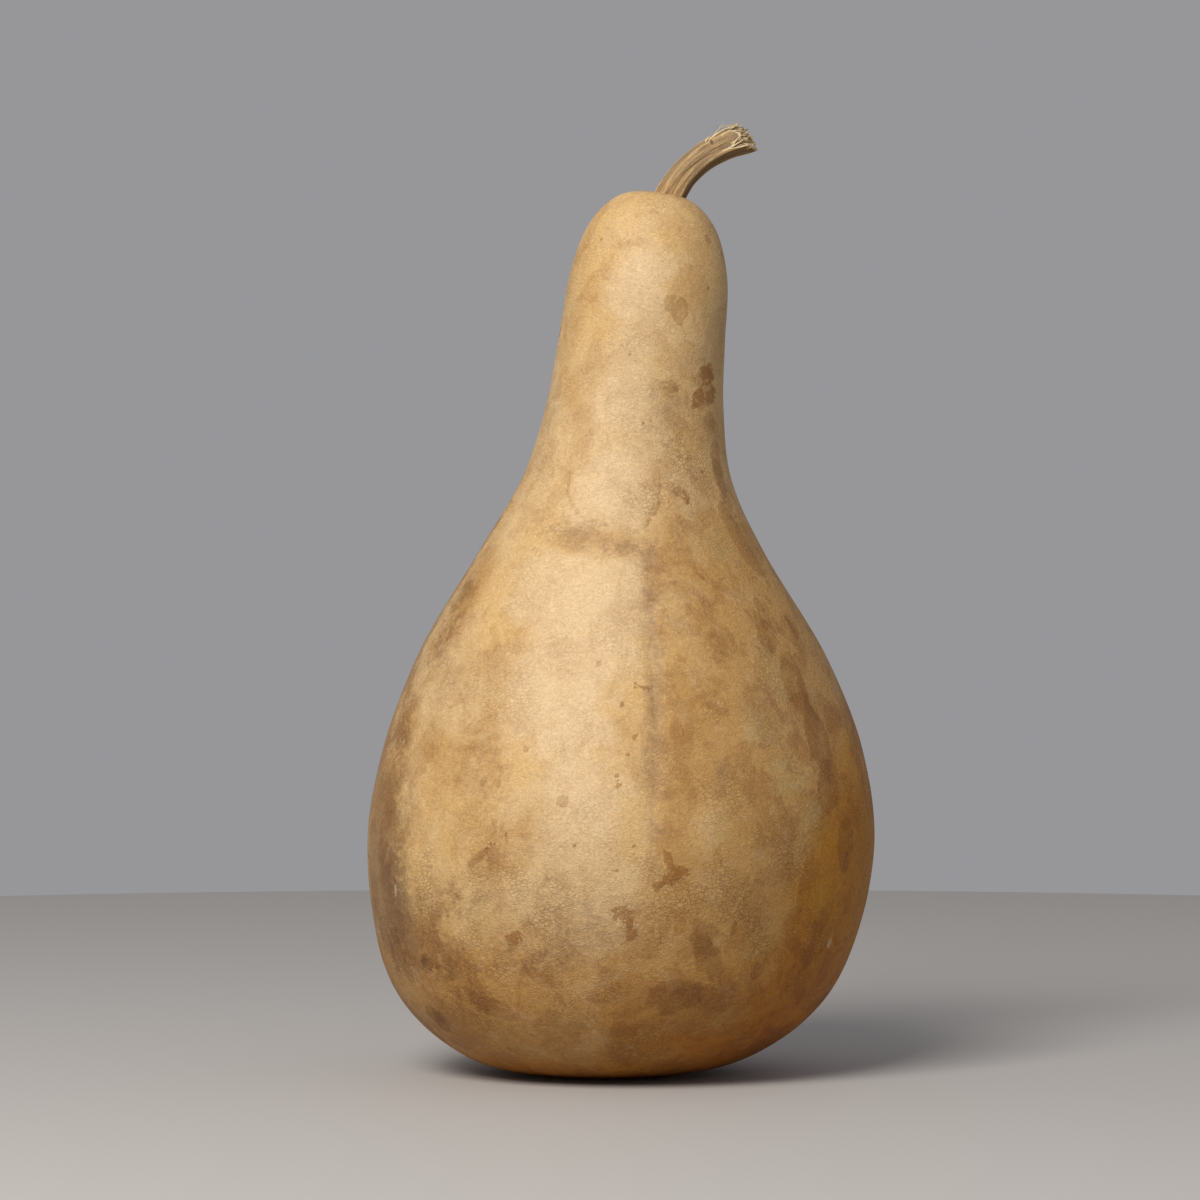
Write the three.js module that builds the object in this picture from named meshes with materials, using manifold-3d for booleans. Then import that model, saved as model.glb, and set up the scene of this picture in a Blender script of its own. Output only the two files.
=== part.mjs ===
// Dried bottle gourd, standing on its blossom end, with the torn stub of its stalk.
// Millimetres, +Z up. The origin is on the surface that it stands on, under the middle of the belly.
// The neck and the stalk lean towards +X.

import * as THREE from 'three';
import { mergeVertices } from 'three/addons/utils/BufferGeometryUtils.js';
import Module from 'manifold-3d';

// ---- Driving dimensions ----

const GOURD_HEIGHT = 288.2;     // from the resting flat to the top of the crown
const FOOT_RADIUS = 21;         // of the flat on the blossom end
const BELLY_RADIUS = 82.2;
const BELLY_HEIGHT = 73;        // where the belly is widest
const WAIST_RADIUS = 27.4;      // of the neck, where its sides run straight
const WAIST_HEIGHT = 238;
const NECK_LEAN = 10;           // how far over the crown sits, along +X
const FOOT_SHIFT = -6;          // the flat sits this far back along X

const LOBES = 5;                // broad soft ribs round the belly
const LOBE_DEPTH = 0.9;
const LOBE_TURN = -83;          // degrees from +X to the crest of the front one
const DEPTH_RATIO = 0.985;      // the fruit is a little thinner front to back

const STALK_WIDTH = 8.1;        // across the slim middle, halfway up the ribs
const STALK_RIBS = 5;
const STALK_RIB_DEPTH = 0.44;
const STALK_BASE_FLARE = 0.22;  // how much wider it is at the crown, as a share of STALK_WIDTH
const STALK_END_FLARE = 0.17;   // and at the torn end
const STALK_SLIM = [0.5, 0.78]; // the slim stretch, as shares of the stalk's length
const STALK_GAP = 0.3;          // left between the stalk and the crown

const RINGS = 46;               // along the outline
const SEGMENTS = 64;            // round the fruit
const STALK_STEPS = 18;         // along the stalk
const CORNERS_PER_RIB = 4;      // of the stalk's section
const WELD_DISTANCE = 1e-4;     // corners closer than this are one

// ---- Shared helpers ----

const wasm = await Module();
wasm.setup();

// A geometry whose shared corners are joined, without the flat triangles that a pole leaves.
function weld(geometry) {
  const bare = geometry.clone();
  bare.deleteAttribute('normal');
  bare.deleteAttribute('uv');
  const welded = mergeVertices(bare, WELD_DISTANCE);
  const corners = Array.from(welded.index.array);
  const kept = [];
  for (let i = 0; i < corners.length; i += 3) {
    const [a, b, c] = corners.slice(i, i + 3);
    if (a !== b && b !== c && c !== a) kept.push(a, b, c);
  }
  welded.setIndex(kept);
  welded.computeVertexNormals();
  return welded;
}

function toSolid(geometry) {
  const welded = weld(geometry);
  return new wasm.Manifold(new wasm.Mesh({
    numProp: 3,
    vertProperties: new Float32Array(welded.attributes.position.array),
    triVerts: new Uint32Array(welded.index.array),
  }));
}

function toGeometry(solid) {
  const mesh = solid.getMesh();
  const geometry = new THREE.BufferGeometry();
  geometry.setAttribute('position', new THREE.BufferAttribute(mesh.vertProperties, 3));
  geometry.setIndex(new THREE.BufferAttribute(mesh.triVerts, 1));
  return geometry;
}

// Moves every point of a geometry to where the function puts it.
function reshape(geometry, move) {
  const position = geometry.attributes.position;
  const point = new THREE.Vector3();
  for (let i = 0; i < position.count; i += 1) {
    point.fromBufferAttribute(position, i);
    move(point, i);
    position.setXYZ(i, point.x, point.y, point.z);
  }
  return geometry;
}

// ---- The fruit ----

// Each station of the outline: its radius, its height, and how far its middle is shifted along X.
// The curve runs from the edge of the flat, over belly and neck, to the top of the crown.
const STATIONS = [
  [FOOT_RADIUS, 0, FOOT_SHIFT],
  [42.5, 4.2, -4.2],
  [61.5, 16, -2.8],
  [74.5, 34, -1.9],
  [BELLY_RADIUS, BELLY_HEIGHT, -0.2],
  [78.2, 105, 0.4],
  [65.5, 138, 0.2],
  [46.2, 170.5, 0.1],
  [33.7, 195, 2.2],
  [28.9, 218, 5],
  [WAIST_RADIUS, WAIST_HEIGHT, 7],
  [25.4, 261, 9.2],
  [19.8, 277.5, NECK_LEAN],
  [11, 286, NECK_LEAN],
  [0, GOURD_HEIGHT, 8.6],
];

const outline = new THREE.CatmullRomCurve3(
  STATIONS.map(([radius, height, shift]) => new THREE.Vector3(radius, height, shift)),
  false,
  'centripetal',
);

// How strongly the lobes show at a height: not at all on the flat and the neck, most on the belly.
function lobeStrength(height) {
  const up = THREE.MathUtils.smoothstep(height, 0, BELLY_HEIGHT);
  const down = 1 - THREE.MathUtils.smoothstep(height, BELLY_HEIGHT, WAIST_HEIGHT);
  return up * down;
}

// A turned body whose rings are then lobed, slightly flattened and shifted.
function fruitGeometry() {
  const rings = [new THREE.Vector3(0, 0, FOOT_SHIFT), ...outline.getSpacedPoints(RINGS)];
  const profile = rings.map((ring) => new THREE.Vector2(Math.max(ring.x, 0), ring.y));
  profile[profile.length - 1].x = 0;

  const turned = new THREE.LatheGeometry(profile, SEGMENTS).rotateX(Math.PI / 2);
  return reshape(turned, (point, i) => {
    const ring = rings[i % rings.length];
    const angle = Math.atan2(point.y, point.x) - THREE.MathUtils.degToRad(LOBE_TURN);
    const lobe = Math.cos(LOBES * angle) * LOBE_DEPTH * lobeStrength(ring.y);
    const swell = ring.x > LOBE_DEPTH ? 1 + lobe / ring.x : 1;
    point.set(point.x * swell + ring.z, point.y * swell * DEPTH_RATIO, ring.y);
  });
}

// The fruit with its skin moved out, for cutting its neighbour back.
function grownFruitGeometry(distance) {
  const welded = weld(fruitGeometry());
  const normal = new THREE.Vector3();
  return reshape(welded, (point, i) => {
    normal.fromBufferAttribute(welded.attributes.normal, i);
    point.addScaledVector(normal, distance);
  });
}

// ---- The stalk ----

// The middle line of the stalk, from inside the crown to the torn end. It arches over to +X and
// turns a little to the front.
const stalkLine = new THREE.CatmullRomCurve3([
  new THREE.Vector3(14, 0.3, 282.4),
  new THREE.Vector3(16.9, 0.2, 287.2),
  new THREE.Vector3(20.4, 0, 292.6),
  new THREE.Vector3(25.8, -0.6, 297.9),
  new THREE.Vector3(33.2, -2, 302.3),
  new THREE.Vector3(42, -4.4, 305.6),
], false, 'centripetal');

// Width along the stalk, as a share of STALK_WIDTH: wide on the crown, slim in the middle, and
// spread again where it tore.
function stalkWidth(along) {
  const [slimFrom, slimTo] = STALK_SLIM;
  const base = STALK_BASE_FLARE * (1 - THREE.MathUtils.smoothstep(along, 0, slimFrom));
  const end = STALK_END_FLARE * THREE.MathUtils.smoothstep(along, slimTo, 1);
  return 1 + base + end;
}

function stalkGeometry() {
  const section = new THREE.Shape();
  const sides = STALK_RIBS * CORNERS_PER_RIB;
  for (let i = 0; i < sides; i += 1) {
    const angle = (i / sides) * 2 * Math.PI;
    const radius = STALK_WIDTH / 2 + STALK_RIB_DEPTH * Math.cos(STALK_RIBS * angle);
    const corner = [radius * Math.cos(angle), radius * Math.sin(angle)];
    if (i === 0) section.moveTo(...corner);
    else section.lineTo(...corner);
  }

  const geometry = new THREE.ExtrudeGeometry(section, { steps: STALK_STEPS, extrudePath: stalkLine });
  const middles = stalkLine.getSpacedPoints(STALK_STEPS);
  return reshape(geometry, (point) => {
    const distances = middles.map((middle) => middle.distanceTo(point));
    const step = distances.indexOf(Math.min(...distances));
    point.lerpVectors(middles[step], point.clone(), stalkWidth(step / STALK_STEPS));
  });
}

// The stalk stops at the skin of the crown.
function trimmedStalkGeometry() {
  const room = toSolid(grownFruitGeometry(STALK_GAP));
  return toGeometry(toSolid(stalkGeometry()).subtract(room));
}

// ---- The whole gourd ----

const gourd = new THREE.Mesh(
  fruitGeometry(),
  new THREE.MeshStandardMaterial({ color: 0xc89d62, roughness: 0.62, metalness: 0 }),
);
gourd.name = 'gourd';

const stem = new THREE.Mesh(
  trimmedStalkGeometry(),
  new THREE.MeshStandardMaterial({ color: 0xa58764, roughness: 0.85, metalness: 0 }),
);
stem.name = 'stem';

const group = new THREE.Group();
group.add(gourd, stem);

export default group;
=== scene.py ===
# %% [markdown]
# # A dried bottle gourd
#
# A bottle gourd that has dried whole is a light, hard shell. The skin is matt, tan where it dried
# in the light and brown where it lay damp, with grey bloom, water stains and small crusty scabs. On
# top is a stub of the stalk, ribbed lengthwise and torn at its end into straw-coloured fibres.
#
# The frame holds two plain solids, the gourd and its stem. Here each one gets a fine surface that
# stands in for it: a turned and worked skin, and a stalk made of bark, strips and fibres.

# %% load the frame
import math
import random

import bmesh
import bpy
import numpy as np
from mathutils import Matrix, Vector, noise


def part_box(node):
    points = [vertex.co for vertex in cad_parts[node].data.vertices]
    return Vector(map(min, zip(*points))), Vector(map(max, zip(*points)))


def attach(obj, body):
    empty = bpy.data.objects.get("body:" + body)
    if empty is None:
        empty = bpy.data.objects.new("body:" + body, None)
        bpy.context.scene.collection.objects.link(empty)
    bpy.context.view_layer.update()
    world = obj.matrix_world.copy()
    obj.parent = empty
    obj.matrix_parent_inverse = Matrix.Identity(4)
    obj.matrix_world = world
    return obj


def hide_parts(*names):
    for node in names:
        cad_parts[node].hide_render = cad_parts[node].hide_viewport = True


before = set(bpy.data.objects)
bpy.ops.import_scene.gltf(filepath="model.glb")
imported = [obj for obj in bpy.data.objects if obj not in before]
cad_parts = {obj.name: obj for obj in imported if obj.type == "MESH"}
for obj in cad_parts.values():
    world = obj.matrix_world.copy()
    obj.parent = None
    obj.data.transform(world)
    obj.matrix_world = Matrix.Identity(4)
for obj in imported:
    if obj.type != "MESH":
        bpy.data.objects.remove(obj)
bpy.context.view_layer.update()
MM = 0.001
gourd_low, gourd_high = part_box("gourd")
stem_low, stem_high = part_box("stem")
print("gourd", gourd_low, gourd_high)
print("stem", stem_low, stem_high)

# %% [markdown]
# ## Camera, floor and light
#
# The camera looks straight at the gourd from half its height, from far enough away that the belly
# and the crown keep their true proportions. A long lens does that.
#
# One large soft lamp stands high in front and a little to the left, as a window would. The sky is a
# dim even grey, so the far side and the underside of the belly fall off into shade without going
# black.

# %% camera
CAMERA_DISTANCE = 1.5
CAMERA_HEIGHT = 0.1543
CAMERA_SIDE = -6.5 * MM
CAMERA_LENS = 137.8

camera_data = bpy.data.cameras.new("camera")
camera_data.lens = CAMERA_LENS
camera_data.sensor_width = 36
camera = bpy.data.objects.new("camera", camera_data)
camera.location = (CAMERA_SIDE, -CAMERA_DISTANCE, CAMERA_HEIGHT)
camera.rotation_euler = (math.radians(90), 0, 0)
bpy.context.scene.collection.objects.link(camera)
bpy.context.scene.camera = camera
bpy.context.scene.view_settings.view_transform = "Standard"
print("camera at", tuple(camera.location))


# %% floor
def flat_material(name, colour, roughness):
    material = bpy.data.materials.new(name)
    material.use_nodes = True
    surface = material.node_tree.nodes["Principled BSDF"]
    surface.inputs["Base Color"].default_value = (*colour, 1)
    surface.inputs["Roughness"].default_value = roughness
    return material


def object_from(bm, name, material=None):
    """Makes a smooth object of a finished shape."""
    mesh = bpy.data.meshes.new(name)
    bm.to_mesh(mesh)
    bm.free()
    for face in mesh.polygons:
        face.use_smooth = True
    if material:
        mesh.materials.append(material)
    made = bpy.data.objects.new(name, mesh)
    bpy.context.scene.collection.objects.link(made)
    return made


FLOOR_RADIUS = 0.95
bm = bmesh.new()
bmesh.ops.create_circle(bm, cap_ends=True, segments=128, radius=FLOOR_RADIUS)
floor = object_from(bm, "floor", flat_material("floor_paint", (0.46, 0.44, 0.42), 0.7))


# %% lights
def area_lamp(name, place, target, size, watts, colour):
    data = bpy.data.lights.new(name, "AREA")
    data.size = size
    data.energy = watts
    data.color = colour
    lamp = bpy.data.objects.new(name, data)
    lamp.location = place
    lamp.rotation_euler = (Vector(target) - Vector(place)).to_track_quat("-Z", "Y").to_euler()
    bpy.context.scene.collection.objects.link(lamp)


area_lamp("window", (-0.62, -1.3, 1.25), (0, 0, 0.16), 0.8, 36, (1.0, 0.97, 0.93))

world = bpy.data.worlds.new("sky")
world.use_nodes = True
world.node_tree.nodes["Background"].inputs["Color"].default_value = (0.31, 0.31, 0.325, 1)
world.node_tree.nodes["Background"].inputs["Strength"].default_value = 1.0
bpy.context.scene.world = world

# %% [markdown]
# ## The skin's shape
#
# A gourd is nearly a turned body, so it starts as half an outline spun round the upright axis. The
# outline is a curve through a few stations, from the edge of the flat that the gourd stands on, over
# the belly and the waist, to the crown.
#
# No real gourd is quite round. After the spin every ring is lobed, pressed a little flat from front
# to back, and shifted sideways, so that the foot sits to one side and the neck leans to the other.

# %% outline
# radius, height and sideways shift of each station, in millimetres
OUTLINE = [
    (21, 0, -6),
    (42.5, 4.2, -4.2),
    (61.5, 16, -2.8),
    (74.5, 34, -1.9),
    (82.2, 73, -0.2),
    (78.2, 105, 0.4),
    (65.5, 138, 0.2),
    (46.2, 170.5, 0.1),
    (33.7, 195, 2.2),
    (28.9, 218, 5),
    (27.4, 238, 7),
    (25.4, 261, 9.2),
    (19.8, 277.5, 10),
    (11, 286, 10),
    (0, 288.2, 8.6),
]
STATION_SCALE = gourd_high.z / MM / OUTLINE[-1][1]


def curve_through(stations, per_span):
    """Points on a smooth curve through the stations, which bends least where they are close."""
    given = [Vector(s) for s in stations]
    given = [2 * given[0] - given[1], *given, 2 * given[-1] - given[-2]]
    points = []
    for p0, p1, p2, p3 in zip(given, given[1:], given[2:], given[3:]):
        t1 = (p1 - p0).length ** 0.5
        t2 = t1 + (p2 - p1).length ** 0.5
        t3 = t2 + (p3 - p2).length ** 0.5
        for i in range(per_span):
            t = t1 + (t2 - t1) * i / per_span
            a1 = p0.lerp(p1, t / t1)
            a2 = p1.lerp(p2, (t - t1) / (t2 - t1))
            a3 = p2.lerp(p3, (t - t2) / (t3 - t2))
            b1 = a1.lerp(a2, t / t2)
            b2 = a2.lerp(a3, (t - t1) / (t3 - t1))
            points.append(b1.lerp(b2, (t - t1) / (t2 - t1)))
    points.append(given[-2])
    return points


def evenly_spaced(points, count):
    """The same curve as count + 1 points that lie equally far apart."""
    points = np.array(points)
    walked = np.concatenate([[0], np.cumsum(np.linalg.norm(np.diff(points, axis=0), axis=1))])
    wanted = np.linspace(0, walked[-1], count + 1)
    return np.stack([np.interp(wanted, walked, points[:, i]) for i in range(points.shape[1])], axis=1)


RINGS = 236
FOOT_RINGS = 8
outline = evenly_spaced(curve_through(OUTLINE, 60), RINGS) * STATION_SCALE
outline[-1, 0] = 0
ring_radii, ring_heights, ring_shifts = outline.T
print(f"outline of {RINGS} steps, {ring_heights[-1]:.1f} mm tall")

# %% spin the outline
SEGMENTS = 384
MERGE_DISTANCE = 0.002


def spin_up(bm, profile, steps):
    """Spins an outline of (radius, height) pairs a full turn and returns the new points."""
    before = set(bm.verts)
    line = [bm.verts.new((radius, 0, height)) for radius, height in profile]
    edges = [bm.edges.new(pair) for pair in zip(line, line[1:])]
    bmesh.ops.spin(
        bm,
        geom=line + edges,
        cent=(0, 0, 0),
        axis=(0, 0, 1),
        angle=2 * math.pi,
        steps=steps,
        use_merge=True,
    )
    made = [v for v in bm.verts if v not in before]
    bmesh.ops.remove_doubles(bm, verts=made, dist=MERGE_DISTANCE)
    return [v for v in made if v.is_valid]


bm = bmesh.new()
foot_edge = outline[0, 0]
foot = [(foot_edge * i / FOOT_RINGS, 0) for i in range(FOOT_RINGS)]
spin_up(bm, foot + [(radius, height) for radius, height in outline[:, :2]], SEGMENTS)
bmesh.ops.recalc_face_normals(bm, faces=bm.faces)
print(f"spun skin: {len(bm.verts)} points, {len(bm.faces)} faces")

skin = object_from(bm, "gourd_skin")
points = np.array([v.co for v in skin.data.vertices])


# %% [markdown]
# ## Working the skin
#
# From here on a place on the skin is named the way a maker would: the angle round the axis, 0 at
# the front and growing towards the side that the neck leans to, and the height above the table.
# Both stay the same while the surface is pushed about, so dents and stains land where they are meant.

# %% places on the skin
angle_at = np.degrees(np.arctan2(points[:, 0], -points[:, 1]))
height_at = points[:, 2].copy()
radius_at = np.hypot(points[:, 0], points[:, 1])
shift_at = np.interp(height_at, ring_heights, ring_shifts)


def smooth_step(value, low, high):
    t = np.clip((value - low) / (high - low), 0, 1)
    return t * t * (3 - 2 * t)


def turn_between(angle):
    """How far round each point of the skin lies from an angle, from -180 to 180 degrees."""
    return (angle_at - angle + 180) % 360 - 180


def along_skin(angle, height):
    """Millimetres across and up from a place on the skin to each point of it."""
    radius = np.interp(height, ring_heights, ring_radii)
    return np.radians(turn_between(angle)) * (radius_at + radius) / 2, height_at - height


def dab(angle, height, width, tall, lean=0):
    """A soft round dab: 1 at its middle and 0 at its edge, half its width and height away."""
    across, up = along_skin(angle, height)
    turn = math.radians(lean)
    u = (across * math.cos(turn) + up * math.sin(turn)) / (width / 2)
    v = (up * math.cos(turn) - across * math.sin(turn)) / (tall / 2)
    return np.clip(1 - u * u - v * v, 0, 1) ** 1.5


def stroke(places, width):
    """A soft line through places on the skin: 1 on the line and 0 at its edges."""
    nearest = np.full(len(points), 1e9)
    for (a1, h1), (a2, h2) in zip(places, places[1:]):
        across, up = along_skin(a1, h1)
        radius = np.interp((h1 + h2) / 2, ring_heights, ring_radii)
        dx, dy = math.radians(a2 - a1) * radius, h2 - h1
        t = np.clip((across * dx + up * dy) / (dx * dx + dy * dy), 0, 1)
        nearest = np.minimum(nearest, np.hypot(across - t * dx, up - t * dy))
    return np.clip(1 - nearest / (width / 2), 0, 1)


def lumps(size, seed):
    """Smooth noise between about -1 and 1, with lumps of a size in millimetres."""
    offset = Vector((seed * 17.3, seed * 5.1, seed * 11.7))
    return np.array([noise.noise(Vector(p) / size + offset) for p in points])


# %% lobes, lean and flattening
LOBES = 5
LOBE_DEPTH = 0.9
FRONT_LOBE = 7
DEPTH_RATIO = 0.985

belly_height = OUTLINE[4][1]
waist_height = OUTLINE[10][1]
on_belly = smooth_step(height_at, 4, belly_height)
on_belly *= 1 - smooth_step(height_at, belly_height, waist_height)
raised = np.cos(np.radians(LOBES * turn_between(FRONT_LOBE))) * LOBE_DEPTH * on_belly

# %% dents, valleys and creases
off_foot = smooth_step(height_at, 1.5, 14)
big_lumps = lumps(46, 1)
small_lumps = lumps(15, 2)
raised += off_foot * (0.45 * big_lumps + 0.13 * small_lumps)

# the belly starts below a shallow valley under the neck
raised -= 1.0 * dab(-14, 175, 46, 16, lean=-6)
raised += 0.7 * dab(-12, 158, 54, 24)
raised -= 0.7 * dab(40, 176, 30, 22)
# a long soft fold runs down the front of the belly
fold = stroke([(12, 168), (9, 150), (8, 130), (7, 105), (7, 80)], 12)
raised -= 0.55 * fold**2
raised += 0.5 * stroke([(-2, 160), (-2, 110), (-3, 84)], 26) ** 2
# a hooked crease where the neck meets the belly, and short wrinkles
hook = stroke([(18, 191), (18, 186), (14, 182), (9, 178)], 5)
raised -= 0.35 * hook
WRINKLE = [(3, 151), (7, 153), (12, 155)]
raised -= 0.3 * stroke(WRINKLE, 3.4)
raised -= 0.5 * dab(-58, 110, 30, 26)
raised -= 0.5 * dab(62, 118, 22, 40)

# %% [markdown]
# The stalk grew out of the crown, so the skin there is drawn in towards it, with fine folds that
# run out from its root like the gathers of a drawstring bag. Underneath, the blossom left a small
# round scar in the middle of the flat.

# %% pucker round the stalk, blossom scar underneath
STALK_ROOT = Vector((16.2, 0.2))
PUCKER_DEPTH, PUCKER_REACH = 1.1, 8.5
GATHER_HEIGHT, GATHER_REACH = 0.16, 7
SCAR_RADIUS, SCAR_DEPTH = 4.5, 1.6

root_x = points[:, 0] + shift_at - STALK_ROOT.x
root_y = points[:, 1] - STALK_ROOT.y
from_root = np.hypot(root_x, root_y)
round_root = np.arctan2(root_y, root_x)
on_crown = smooth_step(height_at, 262, 274)
gathers = np.cos(9 * round_root + 0.6) + 0.6 * np.cos(14 * round_root + 2.1)
raised -= on_crown * PUCKER_DEPTH * np.exp(-((from_root / PUCKER_REACH) ** 2))
raised += on_crown * GATHER_HEIGHT * gathers * np.exp(-(((from_root - GATHER_REACH) / 4) ** 2))

scar = np.where(height_at < 0.5, np.clip(1 - (radius_at / SCAR_RADIUS) ** 2, 0, 1), 0)

# %% move the skin
outward = np.array([v.normal for v in skin.data.vertices])
moved = points + outward * raised[:, None]
moved[:, 1] *= DEPTH_RATIO
moved[:, 0] += shift_at
moved[:, 2] += SCAR_DEPTH * scar
skin.data.vertices.foreach_set("co", (moved * MM).ravel())
skin.data.update()
print(f"skin raised and dented by {raised.min():.2f} to {raised.max():.2f} mm")

# %% [markdown]
# ## Laying out the stains
#
# The colour of the skin comes in layers, and each layer has its own paint: a number between 0 and 1
# on every point of the mesh. The paint only says roughly where a stain lies. The material breaks up
# its edges later with noise, because a real stain is ragged at a finer scale than the mesh.


# %% paint helpers
def lay(paint, amount, layer):
    """Adds a layer to a paint where it is stronger than what is there."""
    return np.maximum(paint, amount * layer)


def spread(places):
    """One paint out of many dabs: (strength, angle, height, width, tall), and a lean for some."""
    paint = np.zeros(len(points))
    for strength, *place in places:
        paint = lay(paint, strength, dab(*place))
    return paint


def keep_values(piece, name, values):
    """Leaves a number from 0 to 1 on every point of a piece, for its material to read."""
    attribute = piece.data.attributes.new(name, "FLOAT", "POINT")
    attribute.data.foreach_set("value", np.clip(values, 0, 1).astype(np.float32))


def keep_paint(name, paint):
    keep_values(skin, name, paint)
    print(f"paint {name}: {100 * (paint > 0.05).mean():.0f} % of the skin")


# %% warm: the browner side, away from the light it dried in
past_fold = 0.65 * smooth_step(angle_at, 3, 14) + 0.35 * smooth_step(angle_at, 14, 42)
past_fold *= 1 - 0.7 * smooth_step(angle_at, 120, 178)
warm = past_fold * (1 - 0.9 * smooth_step(height_at, 150, 205))
warm = lay(warm, 0.9, smooth_step(-angle_at, 92, 150) * (1 - smooth_step(height_at, 60, 150)))
warm = lay(warm, 0.6, 1 - smooth_step(height_at, 30, 80))
warm = np.maximum(warm, spread([
    (0.55, -62, 150, 30, 60),
    (0.6, -66, 100, 34, 90),
    (0.4, -42, 104, 66, 110),
    (0.5, -24, 80, 60, 30, 30),
    (0.5, -4, 172, 70, 18, -8),
]))
warm *= 1 - 0.5 * spread([(1.0, 18, 87, 22, 28), (1.0, 17, 152, 18, 24)])
keep_paint("warm", warm)
# amber low down, stronger on the right: partly the skin's own colour, partly a painted reflection of a
# brown table under the gourd
low_amber_and_reflection = 1 - smooth_step(height_at, 2, 66)
low_amber_and_reflection *= 0.55 + 0.45 * smooth_step(angle_at, -5, 45)
keep_paint("low", lay(low_amber_and_reflection, 0.95, 1 - smooth_step(height_at, 1, 15)))

# %% orange low down and on the right, partly a painted table reflection; dusk: a grey smudge low on the left
round_right = smooth_step(angle_at, 18, 66) * (1 - smooth_step(angle_at, 110, 170))
deep_top = 40 + 74 * round_right + 16 * smooth_step(angle_at, -60, 10)
orange_and_table_reflection = 1 - smooth_step(height_at, deep_top - 52, deep_top + 6)
orange_and_table_reflection *= 0.2 + 0.35 * smooth_step(angle_at, -20, 30) + 0.45 * smooth_step(angle_at, 32, 60)
orange_and_table_reflection = lay(orange_and_table_reflection, 0.7, (1 - smooth_step(height_at, 0, 40)) * smooth_step(-angle_at, 80, 120))
# at the very bottom the orange is partly a painted reflection of a brown table
orange_and_table_reflection = lay(orange_and_table_reflection, 0.85, 1 - smooth_step(height_at, 1, 17))
keep_paint("orange_and_table_reflection", orange_and_table_reflection)
dusk = spread([
    (1.0, -68, 74, 56, 90),
    (1.0, -62, 52, 50, 50),
    (0.5, -44, 44, 44, 34, -20),
    (0.6, -74, 124, 34, 80),
    (0.9, -84, 120, 40, 190),
    (0.5, -68, 134, 40, 120),
    (0.35, -40, 58, 44, 40),
    (0.3, -20, 44, 60, 26),
    (0.7, 170, 60, 90, 60),
])
keep_paint("dusk", dusk)
keep_paint("coarse", 1 - smooth_step(height_at, 40, 100) + 0.5 * dab(24, 200, 60, 90) + 0.5 * warm)

# %% pale: the sun-dried front of neck and belly
pale = spread([
    (1.0, -14, 156, 70, 46),
    (1.0, -14, 126, 60, 70),
    (0.7, -10, 92, 50, 60),
    (0.9, -9, 190, 40, 40),
    (0.9, -6, 256, 34, 44),
    (0.6, -8, 222, 30, 50),
    (0.8, -160, 150, 70, 60, 20),
    (0.7, 110, 170, 40, 40, -20),
])
keep_paint("pale", pale)

# %% cleared: patches where the brown never took, khaki against the stains round them
cleared = spread([
    (1.0, 40, 100, 26, 22, 10),
    (1.0, 49, 82, 20, 26),
    (0.8, 34, 114, 16, 20),
    (0.9, 46, 132, 16, 30),
    (0.8, 22, 84, 18, 20),
    (0.8, 52, 60, 20, 24),
    (0.9, 36, 48, 26, 20, 30),
    (0.4, -14, 23, 26, 16),
    (0.7, 10, 17, 20, 10),
    (0.7, 34, 24, 26, 12, 10),
    (0.8, 44, 172, 20, 24),
    (0.3, -46, 84, 30, 30),
    (0.7, -34, 56, 26, 18),
    (0.3, -40, 148, 24, 30),
    (0.9, 110, 130, 40, 50),
    (0.9, 170, 110, 50, 60),
    (0.9, -120, 110, 40, 60),
])
keep_paint("cleared", cleared)

# %% bands: long water stains with sharp, winding edges
bands = spread([
    (0.8, 48, 143, 14, 20, -30),
    (1.0, 52, 128, 16, 28, -12),
    (1.0, 55, 110, 18, 28, 4),
    (0.9, 55, 94, 17, 22),
    (0.9, 61, 76, 14, 26),
    (0.5, -34, 73, 28, 5, 38),
    (0.8, 60, 172, 14, 40, 16),
    (0.7, 62, 196, 12, 30),
    (0.6, 15, 31, 34, 18, 10),
    (0.6, 21, 44, 14, 30, 30),
    (0.8, -58, 21, 14, 13),
    (0.45, -36, 28, 44, 12, -20),
    (0.9, 116, 110, 24, 60, 10),
    (0.9, 150, 60, 40, 30, -20),
    (0.8, -120, 80, 30, 50, 20),
    (0.8, -160, 200, 20, 40),
])
keep_paint("bands", bands)

# %% patches: dark stains with soft, wandering edges
patches = spread([
    (0.35, 56, 112, 34, 70),
    (0.6, 52, 150, 26, 14, 30),
    (0.35, 30, 140, 44, 26, 20),
    (0.4, 33, 94, 24, 16, 30),
    (0.35, 24, 124, 34, 22),
    (0.5, 28, 68, 30, 20, 35),
    (0.6, 20, 48, 20, 34, 30),
    (0.4, 12, 32, 44, 22, 10),
    (0.3, 40, 36, 22, 18, 20),
    (0.6, -62, 68, 30, 34),
    (0.6, -64, 50, 26, 34),
    (0.2, -62, 106, 26, 30, 15),
    (0.15, -56, 154, 26, 18, 30),
    (0.15, -46, 130, 26, 10, 38),
    (0.3, -36, 66, 44, 12, 30),
    (0.5, -50, 40, 16, 14),
    (0.35, -36, 30, 50, 16, -20),
    (0.5, -56, 20, 16, 14),
    (0.3, -16, 22, 50, 16),
    (0.7, 62, 192, 12, 40),
    (0.7, 57, 210, 12, 16),
    (0.35, 22, 222, 17, 19),
    (0.4, -14, 268, 20, 12),
    (0.25, -58, 198, 12, 44),
    (0.9, 120, 96, 40, 60, 20),
    (0.8, 98, 60, 26, 50),
    (0.8, 160, 60, 60, 40),
    (0.7, -110, 90, 34, 60, -20),
    (0.8, -150, 36, 60, 34),
    (0.7, 150, 190, 30, 40),
    (0.7, -120, 230, 24, 50),
    (0.6, 130, 250, 20, 24),
])

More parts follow.
